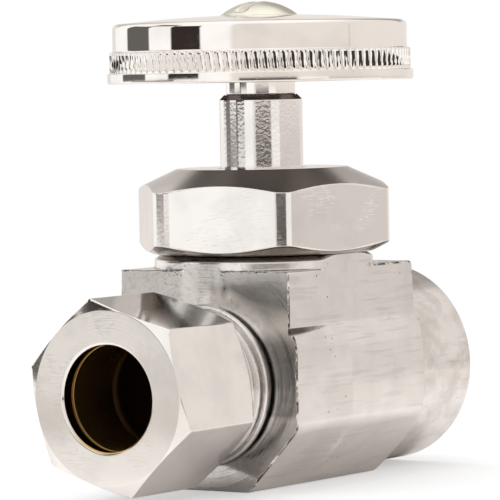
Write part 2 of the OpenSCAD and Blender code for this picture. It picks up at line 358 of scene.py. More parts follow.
def outside_distance(s, y, z):
    """Distance from the block, the boss, the barrel and the spout taken as solid."""
    off_flow = np.hypot(y, z)
    off_stem = np.hypot(s, y)
    # Front face with a ragged edge
    ragged = smoothstep(BLOCK_FRONT + BURR_REACH, BLOCK_FRONT + 0.02, s)
    ragged = BURR_HEIGHT * ragged * burr(y, z)
    block = soft_max(z - BLOCK_TOP + ragged, BASE_Z - z, EDGE)
    block = soft_max(block, BLOCK_FRONT - s, FRONT_EDGE)
    corner_r = math.hypot(BLOCK_HALF, BLOCK_TOP)
    slope = (corner_r - BARREL_R + SHOULDER_SINK) / SHOULDER_RUN
    cone = ((off_flow - corner_r) + (s - BLOCK_REAR) * slope) / math.hypot(1, slope)
    block = soft_max(block, cone, 0.45)
    bevel = ((off_stem - BOSS_R) * (BOSS_TOP - BOSS_EDGE_Z)
             + (z - BOSS_EDGE_Z) * (BOSS_R - BOSS_TOP_R))
    bevel = bevel / math.hypot(BOSS_TOP - BOSS_EDGE_Z, BOSS_R - BOSS_TOP_R)
    boss = soft_max(off_stem - BOSS_R, bevel, 0.12)
    boss = soft_max(boss, z - BOSS_TOP, 0.10)
    boss = np.maximum(boss, -z)
    edge = FRONT_EDGE + (EDGE - FRONT_EDGE) * smoothstep(BLOCK_FRONT, BLOCK_FRONT + 1, s)
    shape = soft_max(soft_min(block, boss, 0.12), side_distance(y, z) + ragged, edge)
    barrel = soft_max(off_flow - BARREL_R, s - MOUTH, 0.35)
    shape = soft_min(shape, np.maximum(barrel, -s), BARREL_FILLET)
    # The fillet swells the base, so it is cut flat again
    shape = soft_max(shape, BASE_Z - z, 0.1)
    return soft_min(shape, spout_distance(s, y, z, off_flow), 0.3)


def spout_distance(s, y, z, off_flow):
    """Distance from the threaded spout and the collar behind its thread."""
    turns = s / SPOUT_PITCH - np.arctan2(z, y) / (2 * math.pi)
    fade = smoothstep(SPOUT_RELIEF + 0.35, SPOUT_RELIEF, s)
    depth = SPOUT_THREAD_DEPTH * (1 - fade * (1 - thread_shape(turns)))
    chamfer = (SPOUT_TIP - s + off_flow - SPOUT_R + SPOUT_CHAMFER) * DIAGONAL
    tip = soft_max(SPOUT_TIP - s, chamfer, 0.05)
    spout = soft_max((off_flow - SPOUT_R + depth) * 0.8, tip, 0.05)
    collar = soft_max(off_flow - COLLAR_R, slab(s, COLLAR_FRONT, COLLAR_REAR), 0.22)
    spout = soft_min(spout, collar, 0.08)
    return np.maximum(spout, s - BLOCK_FRONT - 1)


def bore_distance(s, y, z):
    """Distance from the passages: the socket, the ways, the seat's chamber and the outlet."""
    off_flow = np.hypot(y, z)
    off_stem = np.hypot(s, y)
    # Overrun of a passage that opens into another or into the air
    far = 3
    socket = soft_max(off_flow - SOCKET_R, SOCKET_FLOOR - s, 0.3)
    mouth = (off_flow - SOCKET_R - SOCKET_CHAMFER + (MOUTH - s)) * DIAGONAL
    socket = np.minimum(socket, mouth)
    inlet_way = np.hypot(y, z - INLET_WAY_Z) - INLET_WAY_R
    inlet_way = np.maximum(inlet_way, slab(s, INLET_WAY_END, SOCKET_FLOOR + 1))
    port = np.maximum(off_stem - PORT_R, slab(z, INLET_WAY_Z, far))
    moat = np.maximum(slab(off_stem, SEAT_LIP_R, CHAMBER_R), slab(z, -MOAT_DEPTH, far))
    chamber = np.maximum(off_stem - CHAMBER_R, slab(z, 0, far + BOSS_TOP))
    thread_bore = np.maximum(off_stem - THREAD_BORE_R, slab(z, THREAD_BORE_BASE, far + BOSS_TOP))
    bonnet_bore = np.maximum(off_stem - BONNET_BORE_R, slab(z, WEB_TOP, far + BOSS_TOP))
    tube = soft_max(off_flow - TUBE_R, s - TUBE_STOP, 0.2)
    cone = (off_flow - CONE_R + (s - SPOUT_TIP) * CONE_SLOPE) / math.hypot(1, CONE_SLOPE)
    outlet_way = np.hypot(y, z - OUTLET_WAY_Z) - OUTLET_WAY_R
    outlet_way = np.maximum(outlet_way, slab(s, TUBE_STOP - 1, -SEAT_LIP_R))
    ways = np.minimum(np.minimum(inlet_way, port), np.minimum(moat, chamber))
    ways = np.minimum(ways, np.minimum(thread_bore, bonnet_bore))
    outlet = soft_min(np.minimum(tube, outlet_way), cone, 0.1)
    return np.minimum(np.minimum(socket, ways), outlet)


def body_distance(points):
    s, y, z = points[..., 0], points[..., 1], points[..., 2]
    return soft_max(outside_distance(s, y, z), -bore_distance(s, y, z), 0.12)


def spaced(stretches):
    """Coordinates from (start, end, step) stretches that follow one another."""
    out = [stretches[0][0]]
    for start, end, step in stretches:
        count = max(1, round((end - start) / step))
        out.extend(start + (end - start) * (k + 1) / count for k in range(count))
    return np.array(out)


def gradient(distance, points, reach=0.01):
    """Slope of the distance at the points."""
    out = np.empty_like(points)
    for axis in range(3):
        step = np.zeros(3)
        step[axis] = reach
        out[:, axis] = (distance(points + step) - distance(points - step)) / (2 * reach)
    return out


CELL_EDGES = [
    ((0, 0, 0), (1, 0, 0)), ((0, 1, 0), (1, 1, 0)), ((0, 0, 1), (1, 0, 1)), ((0, 1, 1), (1, 1, 1)),
    ((0, 0, 0), (0, 1, 0)), ((1, 0, 0), (1, 1, 0)), ((0, 0, 1), (0, 1, 1)), ((1, 0, 1), (1, 1, 1)),
    ((0, 0, 0), (0, 0, 1)), ((1, 0, 0), (1, 0, 1)), ((0, 1, 0), (0, 1, 1)), ((1, 1, 0), (1, 1, 1)),
]


def surface_net(distance, xs, ys, zs, settle=4):
    """Closed quad mesh of the surface where distance is nought, on a grid of uneven spacing."""
    axes = (xs, ys, zs)
    values = distance(np.stack(np.meshgrid(xs, ys, zs, indexing="ij"), -1))
    inside = values < 0
    corners = sum(
        inside[i:inside.shape[0] - 1 + i, j:inside.shape[1] - 1 + j, k:inside.shape[2] - 1 + k]
        .astype(np.int8) for i in (0, 1) for j in (0, 1) for k in (0, 1))
    cells = np.argwhere((corners > 0) & (corners < 8))
    number = np.full(corners.shape, -1, np.int64)
    number[tuple(cells.T)] = np.arange(len(cells))
    total = np.zeros((len(cells), 3))
    hits = np.zeros(len(cells))
    for first, second in CELL_EDGES:
        a, b = cells + first, cells + second
        va, vb = values[tuple(a.T)], values[tuple(b.T)]
        crossed = (va < 0) != (vb < 0)
        t = np.where(crossed, va / np.where(crossed, va - vb, 1), 0)[:, None]
        pa = np.stack([axes[n][a[:, n]] for n in range(3)], 1)
        pb = np.stack([axes[n][b[:, n]] for n in range(3)], 1)
        total += np.where(crossed[:, None], pa + (pb - pa) * t, 0)
        hits += crossed
    points = total / hits[:, None]
    # A quad round each grid line that crosses the surface
    faces = []
    for axis in range(3):
        other, third = (axis + 1) % 3, (axis + 2) % 3
        change = np.diff(inside.astype(np.int8), axis=axis)
        spots = np.argwhere(change != 0)
        sign = change[tuple(spots.T)]
        ring = []
        for back_other, back_third in ((1, 1), (0, 1), (0, 0), (1, 0)):
            shift = np.zeros(3, int)
            shift[other], shift[third] = -back_other, -back_third
            ring.append(number[tuple((spots + shift).T)])
        quad = np.stack(ring, 1)
        quad[sign > 0] = quad[sign > 0][:, ::-1]
        faces.append(quad)
    faces = np.concatenate(faces)
    # The points slide along the slope onto the surface itself
    for _ in range(settle):
        slope = gradient(distance, points)
        steepness = np.maximum((slope ** 2).sum(1), 0.05)
        move = -distance(points)[:, None] * slope / steepness[:, None]
        reach = np.linalg.norm(move, axis=1, keepdims=True)
        points = points + move * np.minimum(1, 0.1 / np.maximum(reach, 1e-9))
    normals = gradient(distance, points)
    normals /= np.maximum(np.linalg.norm(normals, axis=1, keepdims=True), 1e-9)
    return points, faces, normals


def make_body(material):
    # Grid lines are close where there are edges and threads
    margin = 0.2
    xs = spaced([
        (SPOUT_TIP - margin, SPOUT_RELIEF + 1, 0.14), (SPOUT_RELIEF + 1, BLOCK_FRONT + 0.4, 0.1),
        (BLOCK_FRONT + 0.4, BLOCK_REAR - 0.4, 0.33), (BLOCK_REAR - 0.4, BLOCK_REAR + 0.9, 0.1),
        (BLOCK_REAR + 0.9, MOUTH - 0.6, 0.33), (MOUTH - 0.6, MOUTH + margin, 0.1)])
    half = spaced([(0, BLOCK_HALF - 0.3, 0.27), (BLOCK_HALF - 0.3, WAIST_HALF + margin, 0.11)])
    ys = np.concatenate([-half[:0:-1], half])
    zs = spaced([
        (BASE_Z - margin, BASE_Z + 0.3, 0.1), (BASE_Z + 0.3, BLOCK_TOP - 0.3, 0.27),
        (BLOCK_TOP - 0.3, BOSS_TOP + margin, 0.1)])
    points, faces, normals = surface_net(body_distance, xs, ys, zs)
    # The passages aren't plated, and are painted nearly black as shade inside them
    bare_and_shaded = smoothstep(0.25, 0.02, np.abs(bore_distance(*points.T)))
    world = points + np.array([STEM_X, 0, 0])
    make_piece("body", world, faces, "valve", "valve_body", material,
               {"bare_and_shaded": bare_and_shaded}, normals)


# -------- packing nut

BONNET_AF = 7 / 8 * INCH
BONNET_CORNER = math.radians(42.7)
BONNET_CORNER_R = 2.4
BONNET_CORNER_HALF = math.radians(7.3)
BONNET_FLAT_R = 8.02
BONNET_SEAT_R = 10.5
BONNET_CONE_SLOPE = 0.457
BONNET_FOOT_SLOPE = 0.49
BONNET_THREAD_R = 7.88
STUFFING_R = 5.65
STUFFING_DEPTH = 2.4
GLAND_R = 3.97


def hexagon_rim(across_flats):
    """A radius just past a hexagon's corners."""
    return across_flats / 2 / math.cos(math.pi / 6) + 0.3


def kept_points(path, within, every):
    """Which points to keep: those past the radius within, and one in every few of the others."""
    return (path[:, 1] >= within) | (np.arange(len(path)) % every == 0)


def hex_nut_mesh(path, across_flats, corner, corner_r, angles, blend, outer):
    """Revolved path whose points marked outer are cut back to a hexagon."""
    flags = np.repeat(outer[:, None], len(angles), 1)

    def radius_at(heights, radii, turns):
        cut = soft_min(radii, hexagon_radius(turns, across_flats, corner, corner_r), blend)
        return np.where(flags, cut, radii)

    return revolve(path, angles, radius_at=radius_at)


def make_packing_nut(material):
    base, top, foot = BOSS_TOP, BONNET_HIGH[2], BONNET_LOW[2]
    rim = hexagon_rim(BONNET_AF)
    cone_foot = top - (rim - BONNET_FLAT_R) * BONNET_CONE_SLOPE
    seat_rise = base + (rim - BONNET_SEAT_R) * BONNET_FOOT_SLOPE
    corners = [
        (foot, STUFFING_R, 0.1), (foot, BONNET_THREAD_R, 0.3), (base, BONNET_THREAD_R, 0.1),
        (base, BONNET_SEAT_R, 0.15), (seat_rise, rim, 0), (cone_foot, rim, 0),
        (top, BONNET_FLAT_R, 0.15), (top, GLAND_R, 0.25), (top - STUFFING_DEPTH, GLAND_R, 0.05),
        (top - STUFFING_DEPTH, STUFFING_R, 0.1)]
    path = refined(rounded_path(corners), 0.06)
    outer = (path[:, 1] > BONNET_FLAT_R + 0.2) & (path[:, 0] > base - 0.01)
    keep = kept_points(path, BONNET_FLAT_R - 0.3, 4)
    path, outer = path[keep], outer[keep]
    angles = hexagon_angles(BONNET_CORNER, BONNET_CORNER_HALF, 12, 20)
    grid, faces = hex_nut_mesh(
        path, BONNET_AF, BONNET_CORNER, BONNET_CORNER_R, angles, 0.08, outer)
    points = upright_points(grid)
    make_piece("packing_nut_shell", points, faces, "valve", "packing_nut", material)


# -------- compression nut and sleeve

NUT_AF = 5 / 8 * INCH
NUT_CORNER = math.radians(16.8)
NUT_CORNER_R = 0.22
NUT_CORNER_HALF = math.radians(1.2)
NUT_FACE_R = 7.9
NUT_CHAMFER = 0.45
NUT_REAR_CHAMFER = 0.68
NUT_REAR_FACE_R = 7.4
NUT_HOLE_R = 4.83
NUT_MOUTH_R = 5.04
NUT_MOUTH_DEPTH = 0.14
NUT_WALL = 1.3
NUT_CONE_R = 6.4
NUT_BORE_R = SPOUT_R + 0.06
NUT_FRONT = NUT_LOW[0] - STEM_X
NUT_REAR = NUT_HIGH[0] - STEM_X
SLEEVE_R = 6.0
SLEEVE_END_R = 5.1
SLEEVE_BORE_R = TUBE_R - 0.02


def make_compression_nut(material):
    rim = hexagon_rim(NUT_AF)
    run = (rim - NUT_FACE_R) * NUT_CHAMFER
    rear_run = (rim - NUT_REAR_FACE_R) * NUT_REAR_CHAMFER
    cone_run = (NUT_CONE_R - NUT_HOLE_R) / CONE_SLOPE
    wall = NUT_FRONT + NUT_WALL
    corners = [
        (NUT_FRONT + NUT_MOUTH_DEPTH, NUT_HOLE_R, 0.06), (NUT_FRONT, NUT_MOUTH_R, 0.03),
        (NUT_FRONT, NUT_FACE_R, 0.12), (NUT_FRONT + run, rim, 0),
        (NUT_REAR - rear_run, rim, 0), (NUT_REAR, NUT_REAR_FACE_R, 0.08),
        (NUT_REAR, NUT_BORE_R, 0.05), (wall + cone_run, NUT_BORE_R, 0.1),
        (wall + cone_run, NUT_CONE_R, 0.05), (wall, NUT_HOLE_R, 0.1)]
    path = refined(rounded_path(corners), 0.06)
    outer = path[:, 1] > NUT_REAR_FACE_R
    keep = kept_points(path, NUT_REAR_FACE_R - 0.1, 3)
    path, outer = path[keep], outer[keep]
    angles = hexagon_angles(NUT_CORNER, NUT_CORNER_HALF, 6, 24)
    grid, faces = hex_nut_mesh(path, NUT_AF, NUT_CORNER, NUT_CORNER_R, angles, 0.06, outer)
    points = lying_points(grid)
    # Brass shows inside, and at the mouth where the plating is worn, below and to one side
    inside = (grid[:, 1] < NUT_MOUTH_R - 0.03) & (grid[:, 0] < NUT_REAR - 0.5)
    mouth = grid[:, 0] < NUT_FRONT + NUT_MOUTH_DEPTH
    worn = (-0.5 * points[:, 1] - 0.85 * points[:, 2]) / grid[:, 1]
    bare_and_shaded = np.where(mouth, smoothstep(-0.1, 0.5, worn), 1.0) * inside
    make_piece("compression_nut", points, faces, "union_nut", "outlet_nut", material,
               {"bare_and_shaded": bare_and_shaded})


def make_sleeve(material):
    front, rear = SLEEVE_LOW[0] - STEM_X, SLEEVE_HIGH[0] - STEM_X
    taper = (SLEEVE_R - SLEEVE_END_R) / CONE_SLOPE
    corners = [
        (front, SLEEVE_BORE_R, 0.06), (front, SLEEVE_END_R, 0.1), (front + taper, SLEEVE_R, 0.5),
        (rear - taper, SLEEVE_R, 0.5), (rear, SLEEVE_END_R, 0.1), (rear, SLEEVE_BORE_R, 0.06)]
    path = refined(rounded_path(corners), 0.25)
    grid, faces = revolve(path, np.linspace(0, 2 * math.pi, 120, endpoint=False))
    points = lying_points(grid)
    make_piece("compression_sleeve", points, faces, "sleeve", "outlet_sleeve", material)


# -------- stem

NECK_R = 3.91
NECK_TOP = STEM_HIGH[2] - 4.4
NECK_CHAMFER = 0.45
STEM_THREAD_R = 4.72
STEM_FOOT_R = 4.0
STEM_THREAD_BASE = STEM_LOW[2] + 0.8
STEM_THREAD_TOP = 10.97
STEM_PITCH = 1.27
STEM_THREAD_DEPTH = 0.6
SPLINE_R = 2.6
SPLINE_DEPTH = 0.25
SPLINE_TEETH = 16
LOW_SCREW_R = 1.4
LOW_SCREW_TOP = STEM_LOW[2] + 3.6
TOP_SCREW_R = 1.6
TOP_SCREW_FOOT = NECK_TOP + 0.6


def stem_radius(heights, radii, turns):
    """The thread's helix and the splines under the handle."""
    threaded = (heights > STEM_THREAD_BASE) & (heights < STEM_THREAD_TOP)
    threaded &= radii > STEM_THREAD_R - 0.3
    ends = smoothstep(STEM_THREAD_BASE, STEM_THREAD_BASE + 0.5, heights)
    height = 1 - thread_shape(heights / STEM_PITCH - turns / (2 * math.pi))
    root = STEM_THREAD_R - STEM_THREAD_DEPTH
    cut = np.where(threaded, root + STEM_THREAD_DEPTH * height * ends, radii)
    splined = (heights > NECK_TOP + 0.05) & (radii > SPLINE_R - 0.4)
    tooth = SPLINE_DEPTH * smoothstep(-0.3, 0.3, np.cos(turns * SPLINE_TEETH))
    return np.where(splined, np.minimum(cut, SPLINE_R - tooth), cut)


def make_stem(material):
    foot, top = STEM_LOW[2], STEM_HIGH[2]
    corners = [
        (LOW_SCREW_TOP, 0, 0), (LOW_SCREW_TOP, LOW_SCREW_R, 0.05),
        (foot, LOW_SCREW_R, 0.1), (foot, STEM_FOOT_R, 0.3), (STEM_THREAD_BASE, STEM_FOOT_R, 0.05),
        (STEM_THREAD_BASE, STEM_THREAD_R, 0.05), (STEM_THREAD_TOP, STEM_THREAD_R, 0.1),
        (STEM_THREAD_TOP, NECK_R, 0.05), (NECK_TOP - NECK_CHAMFER, NECK_R, 0.08),
        (NECK_TOP, NECK_R - NECK_CHAMFER, 0.05), (NECK_TOP, SPLINE_R, 0.05), (top, SPLINE_R, 0.1),
        (top, TOP_SCREW_R, 0.1), (TOP_SCREW_FOOT, TOP_SCREW_R, 0.1), (TOP_SCREW_FOOT, 0, 0)]
    path = refined(rounded_path(corners, closed=False), 0.16, closed=False)
    angles = np.linspace(0, 2 * math.pi, 144, endpoint=False)
    grid, faces = revolve(path, angles, closed=False, radius_at=stem_radius)
    points = upright_points(grid)
    make_piece("stem_spindle", points, faces, "spindle", "stem", material)


# -------- handwheel and its screw

WHEEL_BASE = NECK_TOP + 1.22
FLANGE_R = 14.4
FLANGE_TOP = WHEEL_BASE + 0.99
GRIP_R = FLANGE_R - 0.24
GRIP_TOP = WHEEL_BASE + 2.97
GROOVES = 105
GROOVE_DEPTH = 0.3
GROOVE_FALL = 0.08
GROOVE_SLANT = 0.22
WALL_R = FLANGE_R - 0.55
WHEEL_SHOULDER_Z = WHEEL_BASE + 5.62
WHEEL_SHOULDER_R = 0.7
DOME_RISE = 0.67
SKIRT = 1.3
REST_GAP = 0.04
WEB = 1.8
HUB_R = 3.27
HUB_ROOT_R = 4.6
SCREW_R = 1.58
SCREW_HEAD_R = 3.7
SCREW_HEAD_RISE = 1.35
SLOT_HALF = 0.46
SLOT_END = 3.15
SLOT_DEPTH = 0.5


def wheel_radius(heights, radii, turns):
    """Slanted round-ended grooves round the grip."""
    grip = (heights > FLANGE_TOP) & (heights < GRIP_TOP) & (radii > WALL_R - 0.2)
    middle, half = (FLANGE_TOP + GRIP_TOP) / 2, (GRIP_TOP - FLANGE_TOP) / 2
    pitch = 2 * math.pi * GRIP_R / GROOVES
    lean = GROOVE_SLANT * (middle - heights) / (2 * half)
    across = ((turns * GRIP_R - lean) / pitch + 0.5) % 1 - 0.5
    along = np.maximum(np.abs(heights - middle) - half * 0.70, 0)
    away = np.hypot(across * pitch, along)
    deepness = GROOVE_DEPTH + GROOVE_FALL * ((middle - heights) / half - 1)
    groove = deepness * smoothstep(0.35, 0.20, away)
    return np.where(grip, radii - groove, radii)


def make_wheel(material):
    dome_r = WALL_R - WHEEL_SHOULDER_R
    seat = WHEEL_SHOULDER_Z + DOME_RISE * (1 - (SCREW_HEAD_R / dome_r) ** 2)
    cavity = WHEEL_SHOULDER_Z - WEB
    bore = SPLINE_R + REST_GAP
    recess_r = SCREW_HEAD_R + REST_GAP
    screw_way_r = SCREW_R + 0.08
    stem_end = STEM_HIGH[2] + REST_GAP
    outside = [
        (WHEEL_BASE, WALL_R - SKIRT, 0.25), (WHEEL_BASE, FLANGE_R, 0.22),
        (FLANGE_TOP, FLANGE_R, 0.22), (FLANGE_TOP, GRIP_R, 0.05), (GRIP_TOP, GRIP_R, 0.12),
        (GRIP_TOP, WALL_R, 0.35), (WHEEL_SHOULDER_Z, WALL_R, WHEEL_SHOULDER_R)]
    dome = [
        (WHEEL_SHOULDER_Z + DOME_RISE * (1 - t * t), dome_r * t, 0)
        for t in np.linspace(0.97, recess_r / dome_r, 24)]
    inside = [
        (seat, recess_r, 0), (seat, screw_way_r, 0.1),
        (stem_end, screw_way_r, 0.05), (stem_end, bore, 0.05),
        (NECK_TOP, bore, 0.1), (NECK_TOP, HUB_R, 0.15), (WHEEL_BASE + REST_GAP, HUB_R, 0.3),
        (cavity, HUB_ROOT_R, 0.8), (cavity, WALL_R - SKIRT, 0.8)]
    path = refined(rounded_path(outside + dome + inside), 1.2)
    # The grip's grooves need close points
    grip = (path[:, 0] > FLANGE_TOP - 0.1) & (path[:, 0] < GRIP_TOP + 0.1) & (path[:, 1] > WALL_R)
    fine = []
    for i in range(len(path)):
        fine.append(path[i])
        ahead = path[(i + 1) % len(path)]
        if grip[i] and grip[(i + 1) % len(path)]:
            steps = math.ceil(np.linalg.norm(ahead - path[i]) / 0.1)
            fine.extend(path[i] + (ahead - path[i]) * k / steps for k in range(1, steps))
    path = np.array(fine)
    angles = np.linspace(0, 2 * math.pi, GROOVES * 8, endpoint=False)
    grid, faces = revolve(path, angles, radius_at=wheel_radius)
    points = upright_points(grid)
    # The hollow underside is dull, and its dark colour is painted shade
    under = (grid[:, 1] < WALL_R - SKIRT + 0.15) & (grid[:, 0] < cavity + 0.1)
    under &= (grid[:, 1] > HUB_R + 0.1) | (grid[:, 0] > WHEEL_BASE + 0.4)
    make_piece("handwheel", points, faces, "spindle", "handle", material,
               {"under": under})


def make_wheel_screw(material):
    sphere = (SCREW_HEAD_R ** 2 + SCREW_HEAD_RISE ** 2) / (2 * SCREW_HEAD_RISE)
    top, foot = SCREW_HIGH[2], SCREW_LOW[2]
    seat = top - SCREW_HEAD_RISE
    dome = [
        (top - sphere + math.sqrt(sphere ** 2 - r * r), r, 0)
        for r in np.linspace(0, SCREW_HEAD_R - 0.15, 30)]
    shank = [(seat, SCREW_HEAD_R, 0.12), (seat, SCREW_R, 0.08), (foot, SCREW_R, 0.2), (foot, 0, 0)]
    path = rounded_path(dome + shank, closed=False)
    path = refined(path, 0.2, closed=False)
    angles = np.linspace(0, 2 * math.pi, 120, endpoint=False)
    grid, faces = revolve(path, angles, closed=False)
    points = upright_points(grid)
    # A straight driver slot, sunk softly into the dome
    across, along = points[:, 1], points[:, 0] - STEM_X
    radius = np.hypot(across, along)
    on_head = points[:, 2] > seat + 0.2
    slot = smoothstep(SLOT_HALF + 0.06, SLOT_HALF - 0.06, np.abs(across)) * on_head
    slot *= smoothstep(SLOT_END + 0.15, SLOT_END - 0.15, radius)
    points[:, 2] -= SLOT_DEPTH * slot
    make_piece("wheel_screw", points, faces, "spindle", "handle_screw", material)


# -------- material tools

def add(tree, kind, values=None, **settings):
    """A node with its settings, whose inputs are linked to sockets or set to values."""
    made = tree.nodes.new(kind)
    for key, value in settings.items():
        setattr(made, key, value)
    for key, value in (values or {}).items():
        if isinstance(value, bpy.types.NodeSocket):
            tree.links.new(value, made.inputs[key])
        else:
            made.inputs[key].default_value = value
    return made


def calc(tree, operation, *values):
    return add(tree, "ShaderNodeMath", dict(enumerate(values)), operation=operation).outputs[0]


def times(tree, *values):
    """The values multiplied together."""
    out = values[0]
    for value in values[1:]:
        out = calc(tree, "MULTIPLY", out, value)
    return out


def plus(tree, *values):
    """The values added together."""
    out = values[0]
    for value in values[1:]:
        out = calc(tree, "ADD", out, value)
    return out


def ramp(tree, value, low, high, start=0.0, end=1.0):
    """start where value is low, end where it is high, and a smooth step between."""
    node = add(tree, "ShaderNodeMapRange", {
        "Value": value, "From Min": low, "From Max": high, "To Min": start, "To Max": end},
        interpolation_type="SMOOTHSTEP")
    return node.outputs["Result"]


def band(tree, value, middle, half, soft):
    """1 where value lies within half of middle, fading to 0."""
    off = calc(tree, "ABSOLUTE", calc(tree, "SUBTRACT", value, middle))
    return ramp(tree, off, half + soft, half)


def noise(tree, vector, scale, detail=2.0, rough=0.5):
    node = add(tree, "ShaderNodeTexNoise", {
        "Vector": vector, "Scale": scale, "Detail": detail, "Roughness": rough})
    return node.outputs["Fac"]


def stretched(tree, vector, scales):
    return add(tree, "ShaderNodeMapping", {"Vector": vector, "Scale": scales}).outputs[0]


def mixed(tree, factor, a, b):
    """Colour a where factor is 0 and b where it is 1."""
    node = add(tree, "ShaderNodeMix", {"Factor": factor}, data_type="RGBA")
    for key, value in ((6, a), (7, b)):
        if isinstance(value, bpy.types.NodeSocket):
            tree.links.new(value, node.inputs[key])
        else:
            node.inputs[key].default_value = (*value, 1)
    return node.outputs[2]


def parts(tree, vector):
    """A vector's X, Y and Z."""
    return add(tree, "ShaderNodeSeparateXYZ", {0: vector}).outputs


def facing(tree):
    """X, Y and Z of the surface's own normal."""
    return parts(tree, add(tree, "ShaderNodeTexCoord").outputs["Normal"])


def off_axis(tree, a, b):
    """Distance of (a, b) from the origin."""
    return calc(tree, "SQRT", plus(tree, times(tree, a, a), times(tree, b, b)))


def mark(tree, name):
    """A value that the mesh carries at its points."""
    return add(tree, "ShaderNodeAttribute", attribute_name=name).outputs["Fac"]


def start_material(name):
    material = bpy.data.materials.new(name)
    material.use_nodes = True
    tree = material.node_tree
    tree.nodes.clear()
    output = add(tree, "ShaderNodeOutputMaterial")
    shader = add(tree, "ShaderNodeBsdfPrincipled")
    tree.links.new(shader.outputs[0], output.inputs[0])
    place = add(tree, "ShaderNodeTexCoord").outputs["Object"]
    return material, tree, shader, place


def paint(tree, shader, colour, rough=None):
    tree.links.new(colour, shader.inputs["Base Color"])
    if rough:
        tree.links.new(rough, shader.inputs["Roughness"])


def set_bump(tree, shader, height):
    """Height is in metres."""
    bump = add(tree, "ShaderNodeBump", {"Height": height, "Distance": 1.0, "Strength": 1.0})
    tree.links.new(bump.outputs[0], shader.inputs["Normal"])


def pits(tree, place, per_metre, size, share):
    """Depth 0 to 1 of small pits: one in some of the cells of a pattern."""
    cells = add(tree, "ShaderNodeTexVoronoi", {"Vector": place, "Scale": per_metre})
    near = ramp(tree, cells.outputs["Distance"], size, size * 0.4)
    chosen = add(tree, "ShaderNodeSeparateColor", {0: cells.outputs["Color"]}).outputs[0]
    return times(tree, near, ramp(tree, chosen, 1 - share, 1 - share + 0.02))


def scratches(tree, place, scales, shift, width=0.012):
    """Thin lines, 0 to 1, where a stretched noise passes its middle value."""
    moved = add(tree, "ShaderNodeMapping", {
        "Vector": place, "Location": shift, "Scale": scales}).outputs[0]
    off = calc(tree, "ABSOLUTE", calc(tree, "SUBTRACT", noise(tree, moved, 1.0, 1.0), 0.5))
    patches = ramp(tree, noise(tree, place, 260.0, 1.0), 0.52, 0.62)
    return times(tree, ramp(tree, off, width, width * 0.3), patches)


def turned_rings(axis, amount, per_metre, centre=(0.0, 0.0, 0.0)):
    """Tool marks round an axis through centre, on faces that look along it."""
    def height(tree, place):
        moved = add(tree, "ShaderNodeMapping", {
            "Vector": place, "Location": tuple(-c for c in centre)}).outputs[0]
        moved = parts(tree, moved)
        across = [moved[k] for k in range(3) if k != axis]
        lines = add(tree, "ShaderNodeTexNoise", {
            "W": times(tree, off_axis(tree, *across), per_metre), "Scale": 1.0, "Detail": 2.0},
            noise_dimensions="1D").outputs["Fac"]
        along = calc(tree, "ABSOLUTE", facing(tree)[axis])
        return times(tree, lines, ramp(tree, along, 0.75, 0.95), amount)
    return height


# -------- materials

WARM = (0.92, 0.90, 0.88)
CAST = (0.86, 0.845, 0.83)
GRIME = (0.09, 0.07, 0.055)
STEM_AXIS = (STEM_X * MM, 0.0, 0.0)
# Upward part of the normal on the packing nut's cone
CONE_UP = 0.91
# Patterns to the metre, and how deep and how wide in its cell a pit is
SMUDGES = 140.0
SPECKLES = 2600.0
PEEL_BUMPS = 3200.0
PITS = 640.0
PIT_DEPTH = 1.5e-5
PIT_SIZE = 0.08


def plated(name, tint, gloss, peel, grain_scales, grain, rings=None, scratch=0.0, pit=0.0):
    """Nickel-chrome plating: peel is fine unevenness and grain is brushing, both heights in metres.

    rings makes the height of tool marks, scratch is a depth, and pit is the share of cells with one.
    """
    material, tree, shader, place = start_material(name)
    smudge = noise(tree, place, SMUDGES, 3.0, 0.6)
    heights = [
        times(tree, noise(tree, place, PEEL_BUMPS, 2.0, 0.55), peel),
        times(tree, noise(tree, stretched(tree, place, grain_scales), 1.0, 3.0, 0.6), grain)]
    if rings:
        heights.append(rings(tree, place))
    dark = tuple(c * 0.90 for c in tint)
    colour = mixed(tree, ramp(tree, smudge, 0.42, 0.66), tint, dark)
    rough = ramp(tree, smudge, 0.35, 0.7, gloss, gloss * 1.3)
    if scratch:
        lines = scratches(tree, place, (500.0, 500.0, 4200.0), (3.1, 7.7, 1.3))
        heights.append(times(tree, lines, -scratch))
    if pit:
        holes = pits(tree, place, PITS, PIT_SIZE, pit)
        heights.append(times(tree, holes, -PIT_DEPTH))
        colour = mixed(tree, holes, colour, GRIME)
        rough = plus(tree, rough, times(tree, holes, 0.3))
    speckle = noise(tree, place, SPECKLES, 2.0, 0.6)
    rough = plus(tree, rough, ramp(tree, speckle, 0.3, 0.8, 0.0, 0.02))
    paint(tree, shader, colour, rough)
    shader.inputs["Metallic"].default_value = 1.0
    set_bump(tree, shader, plus(tree, *heights))
    return material, tree, shader, place, colour, rough


def crease_painted_shade(tree, along, y, z, wander):
    """Painted shade: a dark wedge under the waist's step, deepest at the front face and faint past
    its end.
    """
    end, full = -2.5 * MM, -8.5 * MM
    depth = ramp(tree, along, end, BLOCK_FRONT * MM, 0.12 * MM, 0.55 * MM)
    below = calc(tree, "SUBTRACT", (WAIST_STEP + 0.02) * MM, z)
    share = calc(tree, "DIVIDE", below, depth)
    wedge = times(tree, ramp(tree, share, 1.3, 0.7), ramp(tree, share, -0.2, 0.05))
    strength = plus(tree, ramp(tree, along, end, full), ramp(tree, wander, 0.45, 0.75, 0.0, 0.3))
    outer = ramp(tree, calc(tree, "ABSOLUTE", y),
                 (BLOCK_HALF - 0.15) * MM, (BLOCK_HALF - 0.05) * MM)
    return times(tree, wedge, strength, outer)


